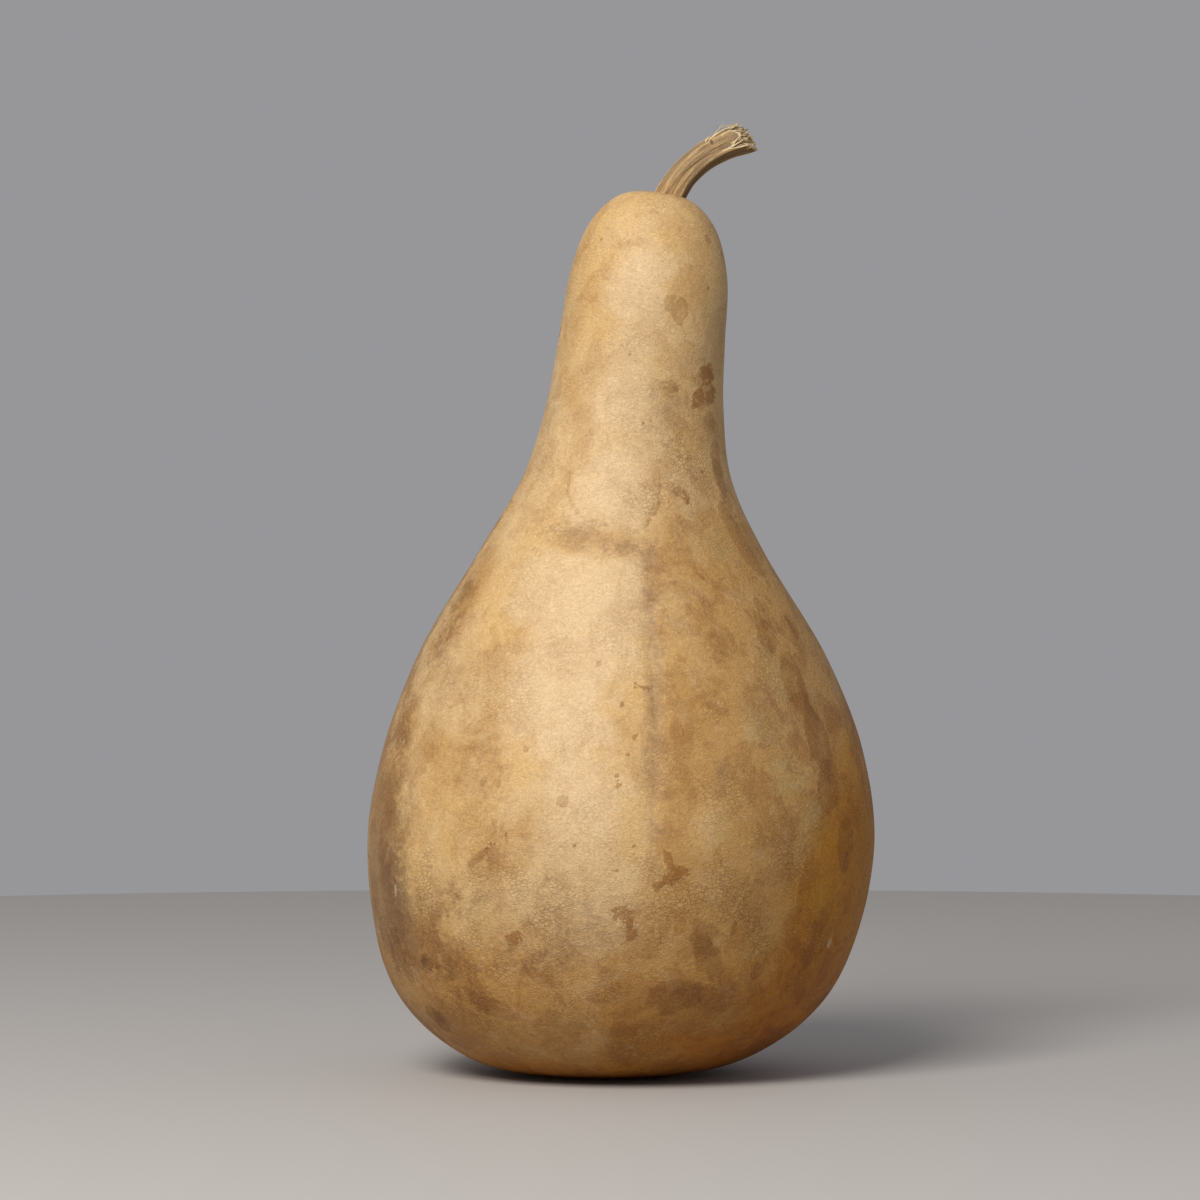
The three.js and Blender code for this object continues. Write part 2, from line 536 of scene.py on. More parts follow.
# %% spots: flat, sharp-edged marks that drops of water left
spots = spread([
    (1.0, 25, 247, 9, 13),
    (0.6, 18, 250, 9, 11),
    (0.6, 22, 222, 12, 13),
    (1.0, -13, 92, 5.4, 5.8),
    (1.0, 54, 271, 5, 4.4),
    (1.0, 29, 189, 8, 5),
    (1.0, 32, 187, 5, 6),
    (0.9, 51, 153, 8, 9),
    (0.8, -29, 97, 3, 6),
    (0.7, -33, 98, 5, 6),
    (0.7, -23, 108, 5, 3),
    (0.7, -6, 134, 4, 4),
    (0.8, 36, 38, 8, 8),
    (0.8, 27, 52, 5, 8),
    (0.8, -51, 40, 9, 9),
    (0.7, 63, 145, 5, 16),
    (0.7, 41, 225, 4, 4),
    (1.0, 51, 226, 13, 13, 10),
    (1.0, 46, 219, 12, 9),
    (1.0, 54, 221, 13, 11),
    (1.0, 30, 188.5, 8, 4.5),
])

# %% scabs: small crusty marks
scabs = spread([
    (1.0, 52, 227, 14, 9, 10),
    (1.0, 46, 220, 9, 7, -30),
    (1.0, 57, 221, 10, 9),
    (0.9, 41, 217, 5, 4),
    (0.8, 29, 189, 8, 4),
    (0.8, 32, 187, 4, 6),
    (0.7, 78, 270, 3, 5),
    (0.9, 74, 267, 2.4, 2.4),
    (1.0, 12, 69, 12, 7, 24),
    (1.0, 10, 74, 4, 9, 24),
    (0.9, 8, 66, 5, 4),
    (1.0, 1, 57, 10, 6, -20),
    (0.9, 3, 52, 5, 8),
    (0.9, -1, 71, 6, 3, 30),
    (0.9, -10, 78, 2.4, 2.4),
    (0.9, 4, 127, 5, 3, -30),
    (0.9, 6, 126, 3, 5, 30),
    (0.9, 0, 122, 2.4, 2.4),
    (0.9, 3, 112, 3, 1.6, 30),
    (0.9, 1, 106, 3.4, 1.6),
    (0.9, -1, 100, 3, 3),
    (0.8, -1, 97, 4, 3, 20),
    (0.8, -24, 49, 9, 6),
    (0.8, 58, 44, 9, 2, 35),
    (0.7, 70, 131, 2.4, 5),
    (0.9, -30, 78, 9, 3, 40),
    (0.7, -26, 81, 3, 3),
])

# %% [markdown]
# The sides and the back have marks of the same kinds. A seeded scatter lays them, so that no side is
# bare and the gourd comes out the same every time.

# %% scatter marks over the sides and the back
scatter = random.Random(41)


def scattered(count, sizes, heights, angles=(78, 282)):
    """Places for dabs between two angles, by default round the back from side to side."""
    places = []
    for _ in range(count):
        width, stretch = scatter.uniform(*sizes), scatter.uniform(0.6, 1.5)
        angle, height = scatter.uniform(*angles), scatter.uniform(*heights)
        lean = scatter.uniform(-60, 60)
        places.append((scatter.uniform(0.6, 1), angle, height, width, width * stretch, lean))
    return places


spots = np.maximum(spots, spread(scattered(18, (4, 12), (20, 268))))
scabs = np.maximum(scabs, spread(scattered(26, (2.2, 9), (20, 268))))
scabs = np.maximum(scabs, 0.8 * spread(scattered(26, (1.4, 2.6), (20, 275), (-70, 74))))
patches = np.maximum(patches, spread(scattered(12, (16, 40), (15, 250))))
keep_paint("patches", patches)
keep_paint("spots", spots)
keep_paint("scabs", scabs)

# %% bloom and fold shade: grey and lilac marks of old mould, and painted shade in the fold and valley
# the first eight dabs lie in the valley under the neck and down the long fold: there the grey is painted
# shade
bloom_and_fold_shade = spread([
    (0.8, -18, 175, 34, 12, -12),
    (0.7, 0, 171, 30, 10, -12),
    (0.7, 9, 167, 10, 12),
    (0.4, 10, 150, 12, 30),
    (1.0, 8, 125, 7, 20),
    (0.7, 8, 112, 9, 20),
    (0.6, 8, 92, 12, 30),
    (0.7, 23, 100, 8, 20),
    (0.6, 20, 214, 26, 34),
    (0.4, -68, 205, 16, 60),
    (1.0, -60, 62, 26, 44),
    (0.3, -48, 129, 30, 10, 40),
    (0.3, -56, 146, 20, 16, 30),
    (0.6, -6, 52, 60, 34),
    (0.6, 40, 120, 34, 44),
    (0.3, 14, 150, 40, 30),
    (0.7, 120, 190, 24, 40),
    (0.8, -120, 60, 50, 30, 20),
    (0.7, 170, 100, 40, 50),
])
# the hooked crease and the long fold get the grey too, as painted shade
bloom_and_fold_shade = lay(bloom_and_fold_shade, 0.5, hook)
bloom_and_fold_shade = lay(bloom_and_fold_shade, 0.85, stroke([(12, 171), (10, 150), (8.5, 130), (7, 110), (7, 82)], 9) ** 0.8)
keep_paint("bloom_and_fold_shade", bloom_and_fold_shade)

# %% chips, and painted shade in the creases and round the stalk
chips = spread([
    (1.0, 60, 45, 4, 5),
    (0.9, -60, 62, 2, 6),
    (0.9, -64, 109, 2, 4),
    (0.9, 140, 80, 4, 3),
])
keep_paint("chips", chips)
# darker lines along the creases and wrinkles are painted shade
crease_shade = np.zeros(len(points))
for strength, line, width in [
    (1.0, [(-35, 88), (-33, 84), (-33, 80)], 1.8),
    (1.0, [(18, 192), (18, 187), (15, 182), (10, 178)], 2.6),
    (1.0, WRINKLE, 2.2),
    (0.7, [(-34, 196), (-30, 188), (-20, 181), (-6, 178)], 3),
    (0.8, [(8, 128), (7, 121), (8, 116)], 3),
    (0.8, [(130, 120), (140, 112), (146, 100)], 2.4),
    (0.8, [(-140, 180), (-128, 176), (-118, 180)], 2.6),
]:
    crease_shade = lay(crease_shade, strength, stroke(line, width))
keep_paint("crease_shade", crease_shade)
# painted shade: a browner ring in the pucker round the root of the stalk
crown_shade = on_crown * np.exp(-(((from_root - 4.5) / 3.4) ** 2))
keep_paint("root", crown_shade)

# %% [markdown]
# ## Materials
#
# Every finish is a net of nodes, and most nodes do the same few jobs: mix two colours, cut a soft
# mask out of a value, add noise. Short helpers keep the nets readable.


# %% node helpers
def linear(hex_colour):
    """A colour, such as D9B37E, as the linear numbers that a shader wants."""
    parts = [int(hex_colour[i : i + 2], 16) / 255 for i in (0, 2, 4)]
    return (*[p / 12.92 if p <= 0.04045 else ((p + 0.055) / 1.055) ** 2.4 for p in parts], 1)


def put(tree, kind, inputs=None, **settings):
    """Adds a node. Inputs may be plain values or the outputs of other nodes."""
    node = tree.nodes.new("ShaderNode" + kind)
    for name, value in settings.items():
        setattr(node, name, value)
    for key, value in (inputs or {}).items():
        if isinstance(value, bpy.types.NodeSocket):
            tree.links.new(value, node.inputs[key])
        else:
            node.inputs[key].default_value = value
    return node


def math_of(tree, operation, a, b=0.0):
    return put(tree, "Math", {0: a, 1: b}, operation=operation).outputs[0]


def plus(tree, base, value, times=1.0):
    """A base with some of a value added to it, or taken away where times is below 0."""
    return math_of(tree, "ADD", base, math_of(tree, "MULTIPLY", value, times))


def turned_over(tree, value):
    """1 where a mask is 0, and 0 where it is 1."""
    return math_of(tree, "SUBTRACT", 1.0, value)


def mask_of(tree, value, low, high):
    """0 below low, 1 above high, and a smooth step between."""
    wanted = {"Value": value, "From Min": low, "From Max": high}
    return put(tree, "MapRange", wanted, interpolation_type="SMOOTHSTEP").outputs["Result"]


def noise_of(tree, where, scale, detail=3.0, rough=0.55, twist=0.0):
    wanted = {"Vector": where, "Scale": scale, "Detail": detail, "Roughness": rough, "Distortion": twist}
    return put(tree, "TexNoise", wanted).outputs["Fac"]


def mix_of(tree, factor, a, b, blend="MIX"):
    node = put(tree, "Mix", {0: factor, 6: a, 7: b}, data_type="RGBA", blend_type=blend)
    return node.outputs[2]


def stretched(tree, where, scale, turn=(0, 0, 0)):
    """A place made finer or coarser along each axis, and turned, for the noise that reads it."""
    return put(tree, "Mapping", {"Vector": where, "Scale": scale, "Rotation": turn}).outputs[0]


def paint_of(tree, name):
    return put(tree, "Attribute", attribute_name=name).outputs["Fac"]


def group_with(name, inputs, outputs):
    """An empty node group with named sockets, and its input and output nodes."""
    group = bpy.data.node_groups.new(name, "ShaderNodeTree")
    for label, kind, value in inputs:
        socket = group.interface.new_socket(label, in_out="INPUT", socket_type="NodeSocket" + kind)
        if value is not None:
            socket.default_value = value
    for label, kind in outputs:
        group.interface.new_socket(label, in_out="OUTPUT", socket_type="NodeSocket" + kind)
    return group, group.nodes.new("NodeGroupInput"), group.nodes.new("NodeGroupOutput")


def use_group(tree, group, inputs):
    return put(tree, "Group", inputs, node_tree=group)


# %% [markdown]
# Two effects turn up in more than one finish. A **ragged mask** takes a soft paint and breaks its
# edge with noise, and also gives the thin dark tide line that a drying stain leaves round itself. A
# **dry grain** is the fine, short-fibred tooth of dead plant skin, with its pores and hair-fine
# cracks, which shows in colour and in relief.

# %% ragged mask group
ragged, taken, given = group_with(
    "ragged mask",
    [
        ("Paint", "Float", 0.0),
        ("Where", "Vector", None),
        ("Noise Scale", "Float", 200.0),
        ("Raggedness", "Float", 0.5),
        ("Fray", "Float", 0.2),
        ("Everywhere", "Float", 0.0),
        ("Level", "Float", 0.4),
        ("Softness", "Float", 0.1),
    ],
    [("Mask", "Float"), ("Rim", "Float")],
)
FRAY_SCALE = 620
RIM_WIDTH = 0.16
bays = noise_of(ragged, taken.outputs["Where"], taken.outputs["Noise Scale"], 6, 0.62, 0.8)
frays = noise_of(ragged, taken.outputs["Where"], FRAY_SCALE, 3, 0.6, 0.4)
swing = math_of(ragged, "MULTIPLY", math_of(ragged, "SUBTRACT", bays, 0.5), taken.outputs["Raggedness"])
wobble = plus(ragged, swing, math_of(ragged, "SUBTRACT", frays, 0.5), taken.outputs["Fray"])
near_paint = mask_of(ragged, taken.outputs["Paint"], 0.0, 0.3)
present = math_of(ragged, "MAXIMUM", near_paint, taken.outputs["Everywhere"])
edge = plus(ragged, taken.outputs["Paint"], wobble, present)
low = math_of(ragged, "SUBTRACT", taken.outputs["Level"], taken.outputs["Softness"])
high = math_of(ragged, "ADD", taken.outputs["Level"], taken.outputs["Softness"])
inside = mask_of(ragged, edge, low, high)
deeper = mask_of(ragged, edge, high, math_of(ragged, "ADD", high, RIM_WIDTH))
ragged.links.new(inside, given.inputs["Mask"])
ragged.links.new(math_of(ragged, "SUBTRACT", inside, deeper), given.inputs["Rim"])

# %% dry grain group
grain, taken, given = group_with(
    "dry grain",
    [("Where", "Vector", None), ("Size", "Float", 1000.0), ("Stretch", "Vector", (1, 1, 1))],
    [("Grain", "Float"), ("Pores", "Float"), ("Net", "Float")],
)
whole, size = taken.outputs["Where"], taken.outputs["Size"]
space = stretched(grain, whole, taken.outputs["Stretch"])
fibres = noise_of(grain, space, size, 4, 0.65, 1.2)
tooth = noise_of(grain, space, math_of(grain, "MULTIPLY", size, 2.3), 2, 0.6)
both = plus(grain, math_of(grain, "MULTIPLY", fibres, 0.65), tooth, 0.35)
grain.links.new(mask_of(grain, both, 0.3, 0.7), given.inputs["Grain"])

pits = put(grain, "TexVoronoi", {"Vector": space, "Scale": math_of(grain, "MULTIPLY", size, 0.55)})
pit = turned_over(grain, mask_of(grain, pits.outputs["Distance"], 0.1, 0.34))
sparse = mask_of(grain, noise_of(grain, whole, 160, 2), 0.5, 0.68)
grain.links.new(math_of(grain, "MULTIPLY", pit, sparse), given.inputs["Pores"])

# a net of hair-fine cracks, its lines bent by noise
CRACK_BEND = 2.2 * MM
shake = put(grain, "TexNoise", {"Vector": space, "Scale": size, "Detail": 2.0}).outputs["Color"]
shaken = put(grain, "VectorMath", {0: shake, 1: (CRACK_BEND,) * 3}, operation="MULTIPLY").outputs[0]
shaken = put(grain, "VectorMath", {0: space, 1: shaken}, operation="ADD").outputs[0]
crack_size = {"Vector": shaken, "Scale": math_of(grain, "MULTIPLY", size, 0.6)}
cells = put(grain, "TexVoronoi", crack_size, feature="DISTANCE_TO_EDGE")
line = turned_over(grain, mask_of(grain, cells.outputs["Distance"], 0.0, 0.14))
worn = mask_of(grain, noise_of(grain, whole, 60, 3), 0.42, 0.66)
grain.links.new(math_of(grain, "MULTIPLY", line, worn), given.inputs["Net"])
print("groups made:", ragged.name, "and", grain.name)

# %% [markdown]
# ### The skin's finish
#
# From the ground up: a tan that drifts towards ochre, straw where it bleached, rust on the damp
# side and amber low down, partly a painted reflection of a brown table, then broad mottling, stains
# with tide lines, grey bloom with painted shade along the fold and under the neck, and last the
# crusty scabs, rubbed chips, painted shade in the creases and round the stalk. Fine grain lies over
# everything, in the colour and in the relief, and the shine is low and uneven.

# %% skin colours
STRAW = linear("CEB187")
TAN = linear("C6A779")
OCHRE = linear("C6A26B")
KHAKI = linear("AF935F")
RUST = linear("AD8349")
SHADE_BROWN = linear("9C6F3D")
UMBER = linear("7C4E1E")
AMBER = linear("A66E1F")
LILAC = linear("846850")
SCAB = linear("855016")
CHIP = linear("C4B293")
TEA_TINT = (0.6, 0.45, 0.33, 1)
COFFEE_TINT = (0.45, 0.3, 0.13, 1)
DEEP_TINT = (0.95, 0.7, 0.13, 1)
DUSK_TINT = (0.58, 0.53, 0.51, 1)


# %% layers of a finish
# new_finish starts a finish, and the other functions here add to the one that was started last
def new_finish(name):
    """A material's tree, its surface and the place on the piece that it shades."""
    material = bpy.data.materials.new(name)
    material.use_nodes = True
    tree = material.node_tree
    return material, tree, tree.nodes["Principled BSDF"], put(tree, "TexCoord").outputs["Object"]


def faded(colour, tint, mask, strength, blend="MIX"):
    """The colour with a tint over it where a mask is, as strong as a number or a node says."""
    return mix_of(tree, math_of(tree, "MULTIPLY", mask, strength), colour, tint, blend)


def ragged_of(paint, scale, ragged_by, fray, level, soft, everywhere=0.0):
    """A ragged mask cut out of a paint, as its node."""
    return use_group(tree, ragged, {
        "Paint": paint_of(tree, paint),
        "Where": where,
        "Noise Scale": scale,
        "Raggedness": ragged_by,
        "Fray": fray,
        "Everywhere": everywhere,
        "Level": level,
        "Softness": soft,
    })


def stain(colour, tint, strength, *cut, blend="MIX"):
    """The colour with a ragged stain over it. What follows the strength is for ragged_of."""
    return faded(colour, tint, ragged_of(*cut).outputs["Mask"], strength, blend)


def flecked(colour, grain_node, dark, swing):
    """The colour made darker and lighter by a grain, from dark to dark + swing."""
    fleck = plus(tree, dark, grain_node.outputs["Grain"], swing)
    grey = put(tree, "CombineColor", {0: fleck, 1: fleck, 2: fleck}).outputs[0]
    return mix_of(tree, 1.0, colour, grey, "MULTIPLY")


def join_up(colour, roughness, relief, strength, depth):
    """Joins colour, roughness and relief to the surface. The depth is in millimetres."""
    bump = put(tree, "Bump", {"Strength": strength, "Distance": depth * MM, "Height": relief})
    tree.links.new(colour, surface.inputs["Base Color"])
    tree.links.new(roughness, surface.inputs["Roughness"])
    tree.links.new(bump.outputs[0], surface.inputs["Normal"])


# %% ground colour
skin_finish, tree, surface, where = new_finish("skin_finish")
drift = noise_of(tree, stretched(tree, where, (1, 1, 0.6)), 22, 4, 0.6, 0.5)
mottle = noise_of(tree, where, 70, 6, 0.62, 0.6)
speckle = noise_of(tree, where, 330, 4, 0.6, 0.3)
colour = mix_of(tree, mask_of(tree, drift, 0.4, 0.62), TAN, OCHRE)
colour = stain(colour, STRAW, 0.9, "pale", 60, 1.6, 0.3, 0.4, 0.3)
colour = stain(colour, RUST, 0.85, "warm", 34, 1.5, 0.3, 0.38, 0.34, 0.6)
# amber low down: partly the skin's own colour, partly a painted reflection of a brown table
colour = faded(colour, AMBER, paint_of(tree, "low"), 0.85)

# %% mottling, everywhere: clouds with edges of every sharpness
patchwork = noise_of(tree, stretched(tree, where, (1, 1, 0.75)), 36, 7, 0.62, 1.0)
calm = plus(tree, 0.22, paint_of(tree, "pale"), -0.12)
busy = plus(tree, calm, paint_of(tree, "warm"), 0.14)
colour = faded(colour, TEA_TINT, mask_of(tree, patchwork, 0.5, 0.58), busy, "MULTIPLY")
blotches = noise_of(tree, stretched(tree, where, (1, 1, 0.9), (0.5, 0.3, 0)), 82, 6, 0.6, 0.9)
colour = faded(colour, TEA_TINT, mask_of(tree, blotches, 0.53, 0.57), busy, "MULTIPLY")
freckles = noise_of(tree, where, 210, 5, 0.62, 0.8)
freckled = math_of(tree, "MULTIPLY", busy, 0.7)
colour = faded(colour, COFFEE_TINT, mask_of(tree, freckles, 0.55, 0.68), freckled, "MULTIPLY")
colour = stain(colour, KHAKI, 0.5, "cleared", 70, 2.0, 0.4, 0.5, 0.2, 0.5)
lights = noise_of(tree, stretched(tree, where, (0.9, 1.1, 1), (0, 0.4, 0.2)), 120, 5, 0.6, 0.3)
colour = faded(colour, STRAW, mask_of(tree, lights, 0.53, 0.64), 0.16)

# %% stains, from broad to small
colour = stain(colour, COFFEE_TINT, 0.4, "patches", 70, 2.2, 0.5, 0.5, 0.2, 0.35, blend="MULTIPLY")
colour = stain(colour, COFFEE_TINT, 0.38, "bands", 90, 1.1, 0.3, 0.34, 0.07, blend="MULTIPLY")
drops = ragged_of("spots", 240, 1.0, 0.3, 0.4, 0.07)
colour = faded(colour, COFFEE_TINT, drops.outputs["Mask"], 0.34, "MULTIPLY")
colour = faded(colour, UMBER, drops.outputs["Rim"], 0.12)
# grey bloom: mould marks, and painted shade along the fold, in the valley under the neck and in the
# hooked crease
colour = stain(colour, LILAC, 0.42, "bloom_and_fold_shade", 150, 2.2, 1.0, 0.55, 0.45)
# orange at the bottom and the right: partly the skin's own colour, partly a painted table reflection low
# down
colour = stain(colour, DEEP_TINT, 1.0, "orange_and_table_reflection", 46, 1.3, 0.3, 0.5, 0.46, blend="MULTIPLY")
colour = stain(colour, DUSK_TINT, 1.0, "dusk", 70, 1.8, 0.8, 0.42, 0.36, blend="MULTIPLY")
crust = ragged_of("scabs", 330, 3.4, 1.0, 0.5, 0.1)
colour = faded(colour, SCAB, crust.outputs["Mask"], 0.55)
colour = stain(colour, CHIP, 0.5, "chips", 500, 0.8, 0.3, 0.4, 0.1)
# painted shade along the creases, broken up by speckle
crease_shade_mask = math_of(tree, "MULTIPLY", paint_of(tree, "crease_shade"), mask_of(tree, speckle, 0.25, 0.6))
crease_shade_mask = mask_of(tree, crease_shade_mask, 0.15, 0.75)
colour = faded(colour, COFFEE_TINT, crease_shade_mask, 0.45, "MULTIPLY")
# painted shade round the root of the stalk
colour = faded(colour, SHADE_BROWN, paint_of(tree, "root"), 0.4)

# %% grain, relief and shine
skin_grain = use_group(tree, grain, {"Where": where, "Size": 900, "Stretch": (1.0, 1.0, 1.6)})
colour = flecked(colour, skin_grain, 0.79, 0.44)
colour = faded(colour, UMBER, skin_grain.outputs["Pores"], 0.25)
cracked = plus(tree, 0.18, paint_of(tree, "coarse"), 0.34)
colour = faded(colour, UMBER, skin_grain.outputs["Net"], cracked)

shine = plus(tree, 0.5, mottle, 0.16)
shine = plus(tree, shine, crust.outputs["Mask"], 0.15)

relief = math_of(tree, "MULTIPLY", skin_grain.outputs["Grain"], 0.4)
relief = plus(tree, relief, speckle, 0.7)
relief = plus(tree, relief, freckles, 0.8)
relief = plus(tree, relief, crust.outputs["Mask"], 0.4)
relief = plus(tree, relief, skin_grain.outputs["Pores"], -0.3)
relief = plus(tree, relief, skin_grain.outputs["Net"], -0.3)
rough_low = plus(tree, 1.0, paint_of(tree, "coarse"), 1.3)
relief = math_of(tree, "MULTIPLY", relief, rough_low)
join_up(colour, shine, relief, 0.8, 0.22)
surface.inputs["Specular IOR Level"].default_value = 0.32
skin.data.materials.append(skin_finish)

# %% fit the skin on the frame
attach(skin, "root")
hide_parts("gourd")

# %% [markdown]
# ## The stalk
#
# The stalk is shaped straight and bent afterwards. A place on it is named by how far along it lies,
# in millimetres from inside the crown, and by the turn round it: 0 on top, 90 at the front, 180
# underneath. Five ribs run along it and twist a little. At the far end the bark tore unevenly, and
# stands round the bundle of fibres inside like a ragged collar.

# %% line of the stalk
STALK_LINE = [
    (14, 0.3, 282.4),
    (16.9, 0.2, 287.2),
    (20.4, 0, 292.6),
    (25.8, -0.6, 297.9),
    (33.2, -2, 302.3),
    (42, -4.4, 305.6),
]
LINE_STEPS = 80

middles = evenly_spaced(curve_through(STALK_LINE, 40), LINE_STEPS)
STALK_LENGTH = np.linalg.norm(np.diff(middles, axis=0), axis=1).sum()
onward = np.gradient(middles, axis=0)
onward /= np.linalg.norm(onward, axis=1)[:, None]
upper = [np.array([-onward[0][2], 0, onward[0][0]])]
for direction in onward[1:]:
    carried = upper[-1] - upper[-1].dot(direction) * direction
    upper.append(carried / np.linalg.norm(carried))
upper = np.array(upper)
front = np.cross(onward, upper)
print(f"stalk {STALK_LENGTH:.1f} mm long")


def bend(rise, forward, along):
    """Takes places beside a straight stalk to where they are beside the bent one."""
    walked = np.linspace(0, STALK_LENGTH, LINE_STEPS + 1)

    def part_way(table):
        return np.stack([np.interp(along, walked, table[:, i]) for i in range(3)], axis=1)

    beyond = np.maximum(along - STALK_LENGTH, 0)[:, None] * onward[-1]
    beside = rise[:, None] * part_way(upper) + forward[:, None] * part_way(front)
    return part_way(middles) + beyond + beside


# %% [markdown]
# The collar is described by how far short of the end the bark stops at each turn: a long crack runs
# back beside the top, a rounded tongue stands at the front, and below it a gap shows the fibres.

# %% ribs and torn edge
TORN_SHORT = [
    (0, 3.0), (18, 3.8), (32, 5.2), (39, 8.4), (46, 5.0), (56, 2.8), (68, 1.7), (80, 1.4), (90, 2.2),
    (99, 4.4), (108, 6.6), (116, 4.6), (124, 1.0), (140, -0.2), (165, -0.5), (190, -0.7), (210, 0.3),
    (222, -0.5), (240, 1.2), (262, 0.2), (280, 2.0), (300, 1.0), (320, 3.6), (340, 2.3), (360, 3.0),
]
RIBS = 5
RIB_TURN, RIB_TWIST = 62, -19
STALK_RADIUS = 4.25


def short_of_end(turn):
    turns, shorts = zip(*TORN_SHORT)
    return np.interp(turn % 360, turns, shorts)


def turn_from(turn, middle):
    return (turn - middle + 180) % 360 - 180


def streak_noise(turn, along, turns, reach, seed):
    """Noise that runs lengthwise: features a few turns wide and a reach long."""
    a = np.radians(turn)
    places = np.stack([np.cos(a) * turns, np.sin(a) * turns, along / reach + seed * 7.7], axis=1)
    return np.array([noise.noise(Vector(place)) for place in places])


def bark_relief(turn, along):
    """Height of the bark over a plain rod, and how much each place lies on a rib, for a painted
    highlight.
    """
    share = along / STALK_LENGTH
    twist = RIB_TURN + RIB_TWIST * share
    wave = (1 + np.cos(np.radians(RIBS * (turn - twist)))) / 2
    crest = wave**5
    first_split = np.exp(-((turn_from(turn, 78 - 14 * share) / 5) ** 2))
    first_split *= 1 - smooth_step(share, 0.35, 0.62)
    groove = np.exp(-((turn_from(turn, 99 - 12 * share) / 5) ** 2)) * (1 - smooth_step(share, 0.3, 0.58))
    back_split = np.exp(-((turn_from(turn, 205) / 6) ** 2)) * smooth_step(share, 0.3, 0.5)
    cords = streak_noise(turn, along, 3.2, 16, 1)
    threads = streak_noise(turn, along, 8, 9, 2)
    relief = 0.6 * crest + 0.3 * wave + 0.24 * first_split - 0.24 * groove + 0.2 * back_split
    relief += 0.26 * cords + 0.24 * threads
    ridge_highlight = np.clip(crest + 0.6 * first_split + 0.5 * back_split + 0.5 * threads, 0, 1)
    return relief - 0.3, ridge_highlight, groove


# %% bark
BARK_AROUND, BARK_ALONG, LIP_RINGS, THROAT_RINGS = 144, 120, 3, 14
THROAT_DEPTH = 15
BARK_THICKNESS = 0.8
BASE_FLARE, END_FLARE = 0.07, 0.19
NOTCH_TURN, NOTCH_SHORT = 54, 11.6
TORN_RIM = 1.2

bm = bmesh.new()
last_ring = BARK_ALONG + LIP_RINGS + THROAT_RINGS
spin_up(bm, [(0, 0)] + [(1, ring) for ring in range(last_ring + 1)] + [(0, last_ring)], BARK_AROUND)
bark = object_from(bm, "stem_bark")
rod = np.array([v.co for v in bark.data.vertices])
turn = np.degrees(np.arctan2(rod[:, 1], rod[:, 0])) % 360
ring = np.round(rod[:, 2])
on_axis = np.hypot(rod[:, 0], rod[:, 1]) < 0.5

torn_at = STALK_LENGTH - short_of_end(turn) + 0.5 * streak_noise(turn, 0 * turn, 9, 1, 5)
share = np.clip(ring / BARK_ALONG, 0, 1)
along = share * STALK_LENGTH - smooth_step(share, 0.68, 1) * (STALK_LENGTH - torn_at)
lip = np.clip((ring - BARK_ALONG) / LIP_RINGS, 0, 1)
throat = np.clip((ring - BARK_ALONG - LIP_RINGS) / THROAT_RINGS, 0, 1)
along += 0.25 * np.sin(np.pi * lip)
along -= throat * (along - (STALK_LENGTH - THROAT_DEPTH))

relief, ridge_highlight, groove = bark_relief(turn, along)
flare = BASE_FLARE * (1 - smooth_step(along, 5, 15))
flare += END_FLARE * smooth_step(along, STALK_LENGTH - 10, STALK_LENGTH)
thickness = BARK_THICKNESS * (lip + 0.7 * throat)
radius = np.where(on_axis, 0, (STALK_RADIUS * (1 + flare) + relief * (1 - 0.5 * lip)) - thickness)
a = np.radians(turn)
placed = bend(radius * np.cos(a), radius * np.sin(a), along)
bark.data.vertices.foreach_set("co", (placed * MM).ravel())
bark.data.update()

# %% close, orient and mark the bark
bm = bmesh.new()
bm.from_mesh(bark.data)
bmesh.ops.recalc_face_normals(bm, faces=bm.faces)
bm.to_mesh(bark.data)
bm.free()

outside = ring <= BARK_ALONG
# a small notch below the front tongue has no shape of its own: the finish paints it dark as painted
# shade
from_notch = (turn_from(turn, NOTCH_TURN) / 11) ** 2 + ((STALK_LENGTH - along - NOTCH_SHORT) / 0.5) ** 2
for name, values in {"ridge_highlight": ridge_highlight, "groove": groove, "notch_shade": np.exp(-from_notch)}.items():
    keep_values(bark, name, np.where(outside, values, 0))
keep_values(bark, "torn", np.where(outside, 1 - (torn_at - along) / TORN_RIM, 1 - throat * 3))
# the bark turned in down the throat of the collar is painted dark as shade
keep_values(bark, "inside", throat * 4)
# darker underneath: partly the bark's own colour, partly painted shade on the side turned from the light
keep_values(bark, "underside_dark_and_shade", (1 - np.cos(np.radians(turn - 15))) / 2)
keep_values(bark, "base", 1 - smooth_step(along, 6, 16))
straight = bark.data.attributes.new("straight", "FLOAT_VECTOR", "POINT")
straight_places = np.stack([np.cos(a) * STALK_RADIUS, np.sin(a) * STALK_RADIUS, along], axis=1) * MM
straight.data.foreach_set("vector", straight_places.astype(np.float32).ravel())
print(f"bark: {len(bark.data.vertices)} points")

# %% [markdown]
# Inside the collar the stalk is a bundle of stiff fibres, each broken off at its own length. A strand
# is a small rod whose rings are strung along a path, and tapers to its tip. Peeled strips of bark and
# a few loose hairs lie over the torn edge; they are the same kind of strand, flatter and longer.

# %% strands
STRAND_SIDES = 6


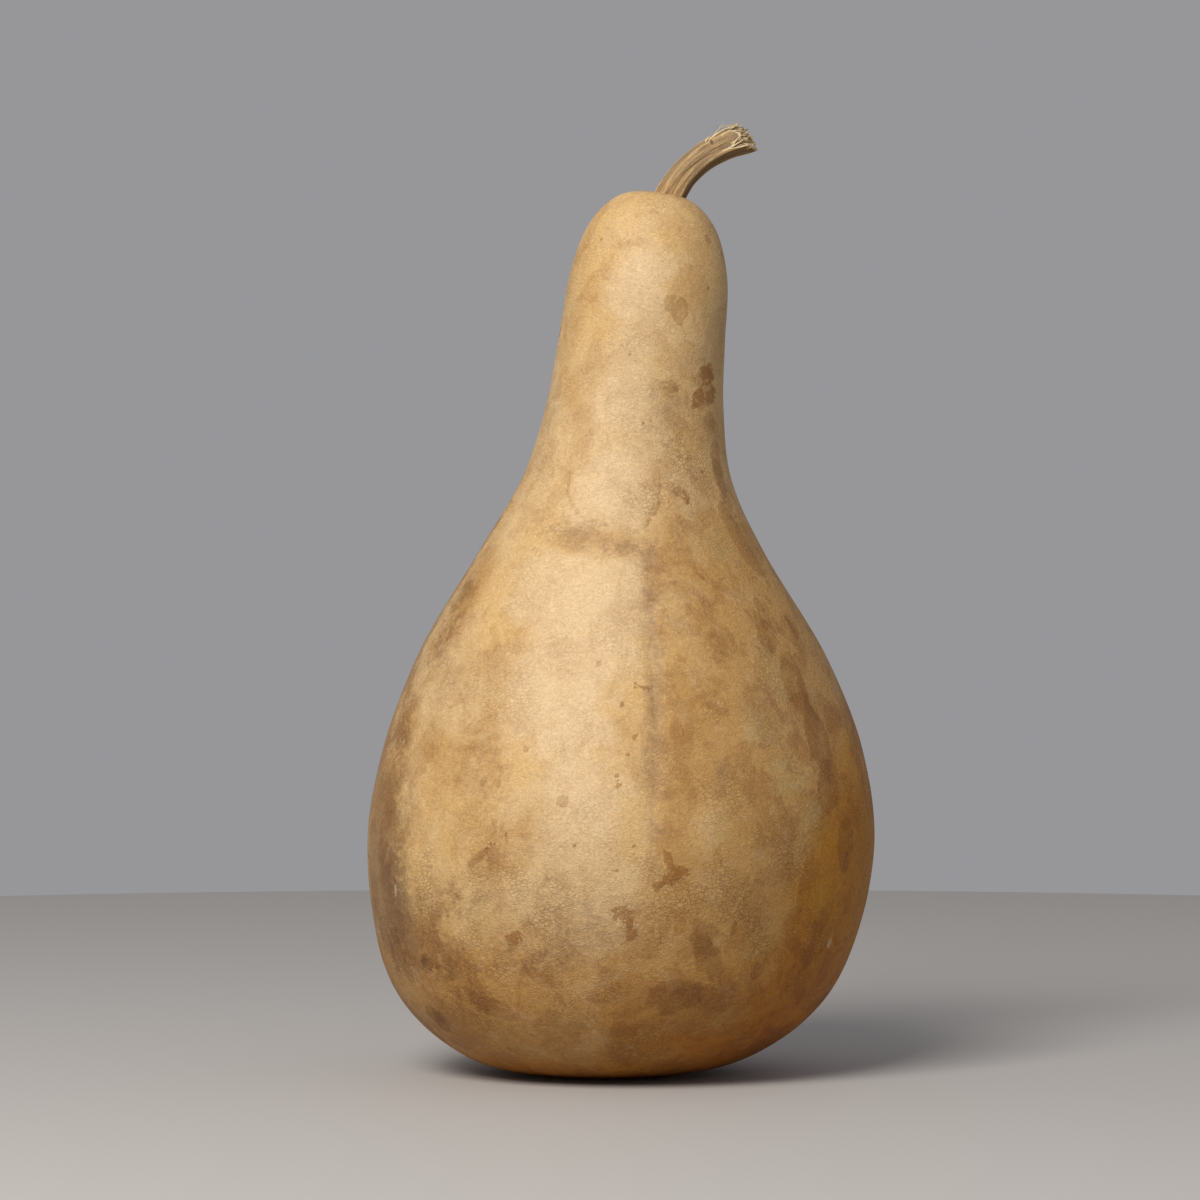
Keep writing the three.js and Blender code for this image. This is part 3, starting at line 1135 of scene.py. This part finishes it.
def strand(bm, path, width, thickness, tint, taper=0.35, rings=7):
    """Adds a strand through places (along, turn, distance from the stalk's middle)."""
    places = []
    for along, turn, out in path:
        angle = math.radians(turn)
        places.append((out * math.cos(angle), out * math.sin(angle), along))
    line = evenly_spaced(curve_through(places, 12), rings)
    onward = np.gradient(line, axis=0)
    onward /= np.linalg.norm(onward, axis=1)[:, None]
    outward = line * (1, 1, 0) + (1e-6, 0, 0)
    outward -= (outward * onward).sum(axis=1)[:, None] * onward
    outward /= np.linalg.norm(outward, axis=1)[:, None]
    sideways = np.cross(onward, outward)

    profile = [(0, 0)] + [(1, ring) for ring in range(rings + 1)] + [(0, rings)]
    made = spin_up(bm, profile, STRAND_SIDES)
    at = np.array([v.co for v in made])
    ring = np.round(at[:, 2]).astype(int)
    slim = 1 - (1 - taper) * (ring / rings) ** 2
    rise = at[:, :1] * outward[ring] * thickness / 2 + at[:, 1:2] * sideways[ring] * width / 2
    strung = line[ring] + rise * slim[:, None]
    bent = bend(strung[:, 0], strung[:, 1], strung[:, 2]) * MM
    for v, place in zip(made, bent):
        v.co = place
        v[bm.verts.layers.float["tint"]] = tint


def strands_object(name, bm):
    bmesh.ops.recalc_face_normals(bm, faces=bm.faces)
    print(f"{name}: {len(bm.faces)} faces")
    return object_from(bm, name)


# %% bundle of fibres
FIBRE_COUNT = 130
BUNDLE_RADIUS = 3.8
GOLDEN_ANGLE = 137.5

pick = random.Random(7)
bm = bmesh.new()
bm.verts.layers.float.new("tint")
for i in range(FIBRE_COUNT):
    # a sunflower spiral spreads the fibres evenly over the section
    out = BUNDLE_RADIUS * math.sqrt((i + 0.5) / FIBRE_COUNT)
    turn = i * GOLDEN_ANGLE + pick.uniform(-12, 12)
    cut_back = 0.45 * (1 + math.cos(math.radians(turn))) * out / 2
    end = STALK_LENGTH + 0.5 - cut_back + pick.uniform(-1.5, 0.6)
    splay = 1 + pick.uniform(0.0, 0.08)
    path = [
        (STALK_LENGTH - 13, turn, out * 0.95),
        (STALK_LENGTH - 6, turn + pick.uniform(-8, 8), out),
        (end - 1.2, turn + pick.uniform(-10, 10), out * splay),
        (end, turn + pick.uniform(-14, 14), out * splay + pick.uniform(-0.3, 0.25)),
    ]
    thick = pick.uniform(0.34, 0.66)
    strand(bm, path, thick, thick * pick.uniform(0.5, 0.9), pick.random(), taper=pick.uniform(0.35, 0.9))
fibres = strands_object("stem_fibres", bm)

# %% peeled strips, slivers and hairs
# each: width, thickness, tint, then places (short of the end, turn, distance out)
STRIPS = [
    (0.75, 0.4, 1.0, [(9.5, 112, 4.5), (7, 112, 4.75), (4.2, 105, 5.0), (1.4, 99, 4.6)]),
    (0.6, 0.35, 0.95, [(6.2, 112, 4.6), (4.8, 101, 4.75), (3.2, 88, 4.9), (1.6, 78, 4.7)]),
    (0.5, 0.35, 0.9, [(5.6, 96, 4.4), (3.6, 93, 4.5), (1.2, 96, 4.3)]),
    (0.7, 0.35, 0.95, [(13.4, 38, 4.6), (12.6, 37, 5.1), (12.0, 40, 5.5)]),
    (0.8, 0.3, 1.0, [(13.2, 30, 4.6), (12.2, 28, 4.95), (11.4, 30, 5.2)]),
    (0.6, 0.3, 0.9, [(12.4, 40, 4.7), (9.5, 34, 5.0), (6.5, 28, 5.3), (4.0, 30, 5.0)]),
    (0.4, 0.25, 0.8, [(10.8, 36, 4.8), (8.8, 22, 5.4), (7.2, 10, 6.1), (6.4, 4, 6.7)]),
    (0.35, 0.25, 0.7, [(8.4, 10, 4.8), (6.6, 4, 5.5), (5.2, 8, 5.4), (3.2, 16, 5.0)]),
    (0.5, 0.25, 0.85, [(8.0, 50, 4.8), (6.0, 46, 5.0), (3.4, 52, 5.1), (1.2, 58, 4.8)]),
    (0.45, 0.25, 0.75, [(6.6, 22, 4.8), (4.2, 26, 5.2), (2.0, 30, 4.9)]),
    (0.4, 0.22, 0.6, [(6.0, 348, 4.8), (4.0, 352, 5.2), (1.6, 345, 5.1)]),
    (0.18, 0.14, 0.2, [(9.0, 8, 4.7), (8.4, 4, 5.8), (8.6, 2, 7.0)]),
    (0.14, 0.12, 0.5, [(7.2, 355, 4.7), (6.4, 350, 5.8), (6.2, 352, 6.5)]),
    (0.3, 0.2, 0.8, [(2.4, 150, 4.6), (0.6, 142, 5.0), (-0.5, 136, 5.2)]),
    (0.3, 0.2, 0.5, [(3.0, 120, 4.8), (1.0, 124, 4.9), (-0.6, 128, 4.6)]),
    (0.4, 0.25, 0.7, [(5.0, 250, 4.7), (2.4, 244, 5.1), (-0.4, 240, 4.7)]),
    (0.5, 0.3, 0.9, [(7.0, 300, 4.7), (4.6, 306, 5.1), (2.2, 300, 5.0)]),
    (0.3, 0.2, 0.6, [(5.0, 280, 4.7), (2.4, 276, 5.2), (0.2, 284, 5.3)]),
]

bm = bmesh.new()
bm.verts.layers.float.new("tint")
for width, thickness, tint, places in STRIPS:
    path = [(STALK_LENGTH - short, turn, out) for short, turn, out in places]
    strand(bm, path, width, thickness, tint, taper=0.4, rings=12)
strips = strands_object("stem_strips", bm)

# %% [markdown]
# ### The finishes of bark and fibre
#
# Bark is drawn in long threads: grey-brown on the broad faces, straw along the ribs with a painted
# highlight, and darker brown beneath, partly painted shade. The torn rim and the fibres are the pale
# inside of the stalk, with grime between; the hollow inside the collar and a notch are painted shade.

# %% bark finish
BARK = linear("9F8460")
BARK_GREY = linear("8A7458")
BARK_PALE_AND_HIGHLIGHT = linear("BE9F70")
BARK_DARK_AND_SHADE = linear("6E5232")
BARK_BASE = linear("A9855A")
BARK_RUST = linear("98692C")
TORN = linear("D0BC98")
HOLLOW_SHADE = linear("4E3B26")

bark_finish, tree, surface, where = new_finish("bark_finish")
lengthwise = put(tree, "Attribute", attribute_name="straight").outputs["Vector"]
threads = noise_of(tree, stretched(tree, lengthwise, (1, 1, 0.05)), 1500, 4, 0.65, 0.6)
cords = noise_of(tree, stretched(tree, lengthwise, (1, 1, 0.09)), 520, 4, 0.6, 0.5)
blotch = noise_of(tree, where, 260, 5, 0.6, 0.6)

colour = mix_of(tree, mask_of(tree, cords, 0.38, 0.62), BARK, BARK_GREY)
colour = faded(colour, BARK_BASE, paint_of(tree, "base"), 0.7)
# darker brown underneath: partly the bark's own colour, partly painted shade
underside_dark_and_shade = mask_of(tree, plus(tree, paint_of(tree, "underside_dark_and_shade"), cords, 0.2), 0.62, 0.95)
colour = faded(colour, BARK_DARK_AND_SHADE, underside_dark_and_shade, 0.8)
# paler along the ribs: partly their own straw tone, partly a painted highlight
ridge_highlight_mask = mask_of(tree, plus(tree, paint_of(tree, "ridge_highlight"), cords, 0.5), 0.6, 1.1)
colour = faded(colour, BARK_PALE_AND_HIGHLIGHT, ridge_highlight_mask, 0.75)
colour = faded(colour, BARK_RUST, paint_of(tree, "groove"), 0.5)
# painted shade of the notch
colour = faded(colour, HOLLOW_SHADE, mask_of(tree, paint_of(tree, "notch_shade"), 0.25, 0.6), 0.8)
colour = faded(colour, BARK_PALE_AND_HIGHLIGHT, mask_of(tree, threads, 0.53, 0.64), 0.45)
colour = faded(colour, BARK_DARK_AND_SHADE, turned_over(tree, mask_of(tree, threads, 0.36, 0.48)), 0.55)
colour = faded(colour, BARK_DARK_AND_SHADE, mask_of(tree, blotch, 0.56, 0.66), 0.3)
colour = stain(colour, TORN, 0.8, "torn", 900, 0.8, 0.2, 0.5, 0.14)
# painted shade in the throat inside the collar
colour = faded(colour, HOLLOW_SHADE, paint_of(tree, "inside"), 0.85)
bark_grain = use_group(tree, grain, {"Where": lengthwise, "Size": 2600, "Stretch": (1.0, 1.0, 0.14)})
colour = flecked(colour, bark_grain, 0.8, 0.4)

relief = plus(tree, threads, cords, 1.2)
relief = plus(tree, relief, bark_grain.outputs["Grain"], 0.3)
join_up(colour, plus(tree, 0.66, blotch, 0.3), relief, 0.9, 0.3)
surface.inputs["Specular IOR Level"].default_value = 0.3
bark.data.materials.append(bark_finish)

# %% fibre finish
FIBRE = linear("BDA273")
FIBRE_PALE = linear("D8C49A")
FIBRE_GRIME = linear("6E5838")

fibre_finish, tree, surface, where = new_finish("fibre_finish")
tint = paint_of(tree, "tint")
smear = noise_of(tree, where, 700, 4, 0.6, 0.4)
colour = mix_of(tree, mask_of(tree, tint, 0.45, 1.0), FIBRE, FIBRE_PALE)
grimy = plus(tree, turned_over(tree, tint), smear, 0.6)
colour = faded(colour, FIBRE_GRIME, mask_of(tree, grimy, 0.6, 1.2), 0.85)
fibre_grain = use_group(tree, grain, {"Where": where, "Size": 3200, "Stretch": (0.4, 1.0, 0.6)})
colour = flecked(colour, fibre_grain, 0.82, 0.32)
join_up(colour, plus(tree, 0.6, smear, 0.3), fibre_grain.outputs["Grain"], 0.6, 0.08)
fibres.data.materials.append(fibre_finish)
strips.data.materials.append(fibre_finish)

# %% fit the stalk's pieces on the frame
for piece in (bark, fibres, strips):
    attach(piece, "root")
    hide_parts("stem")
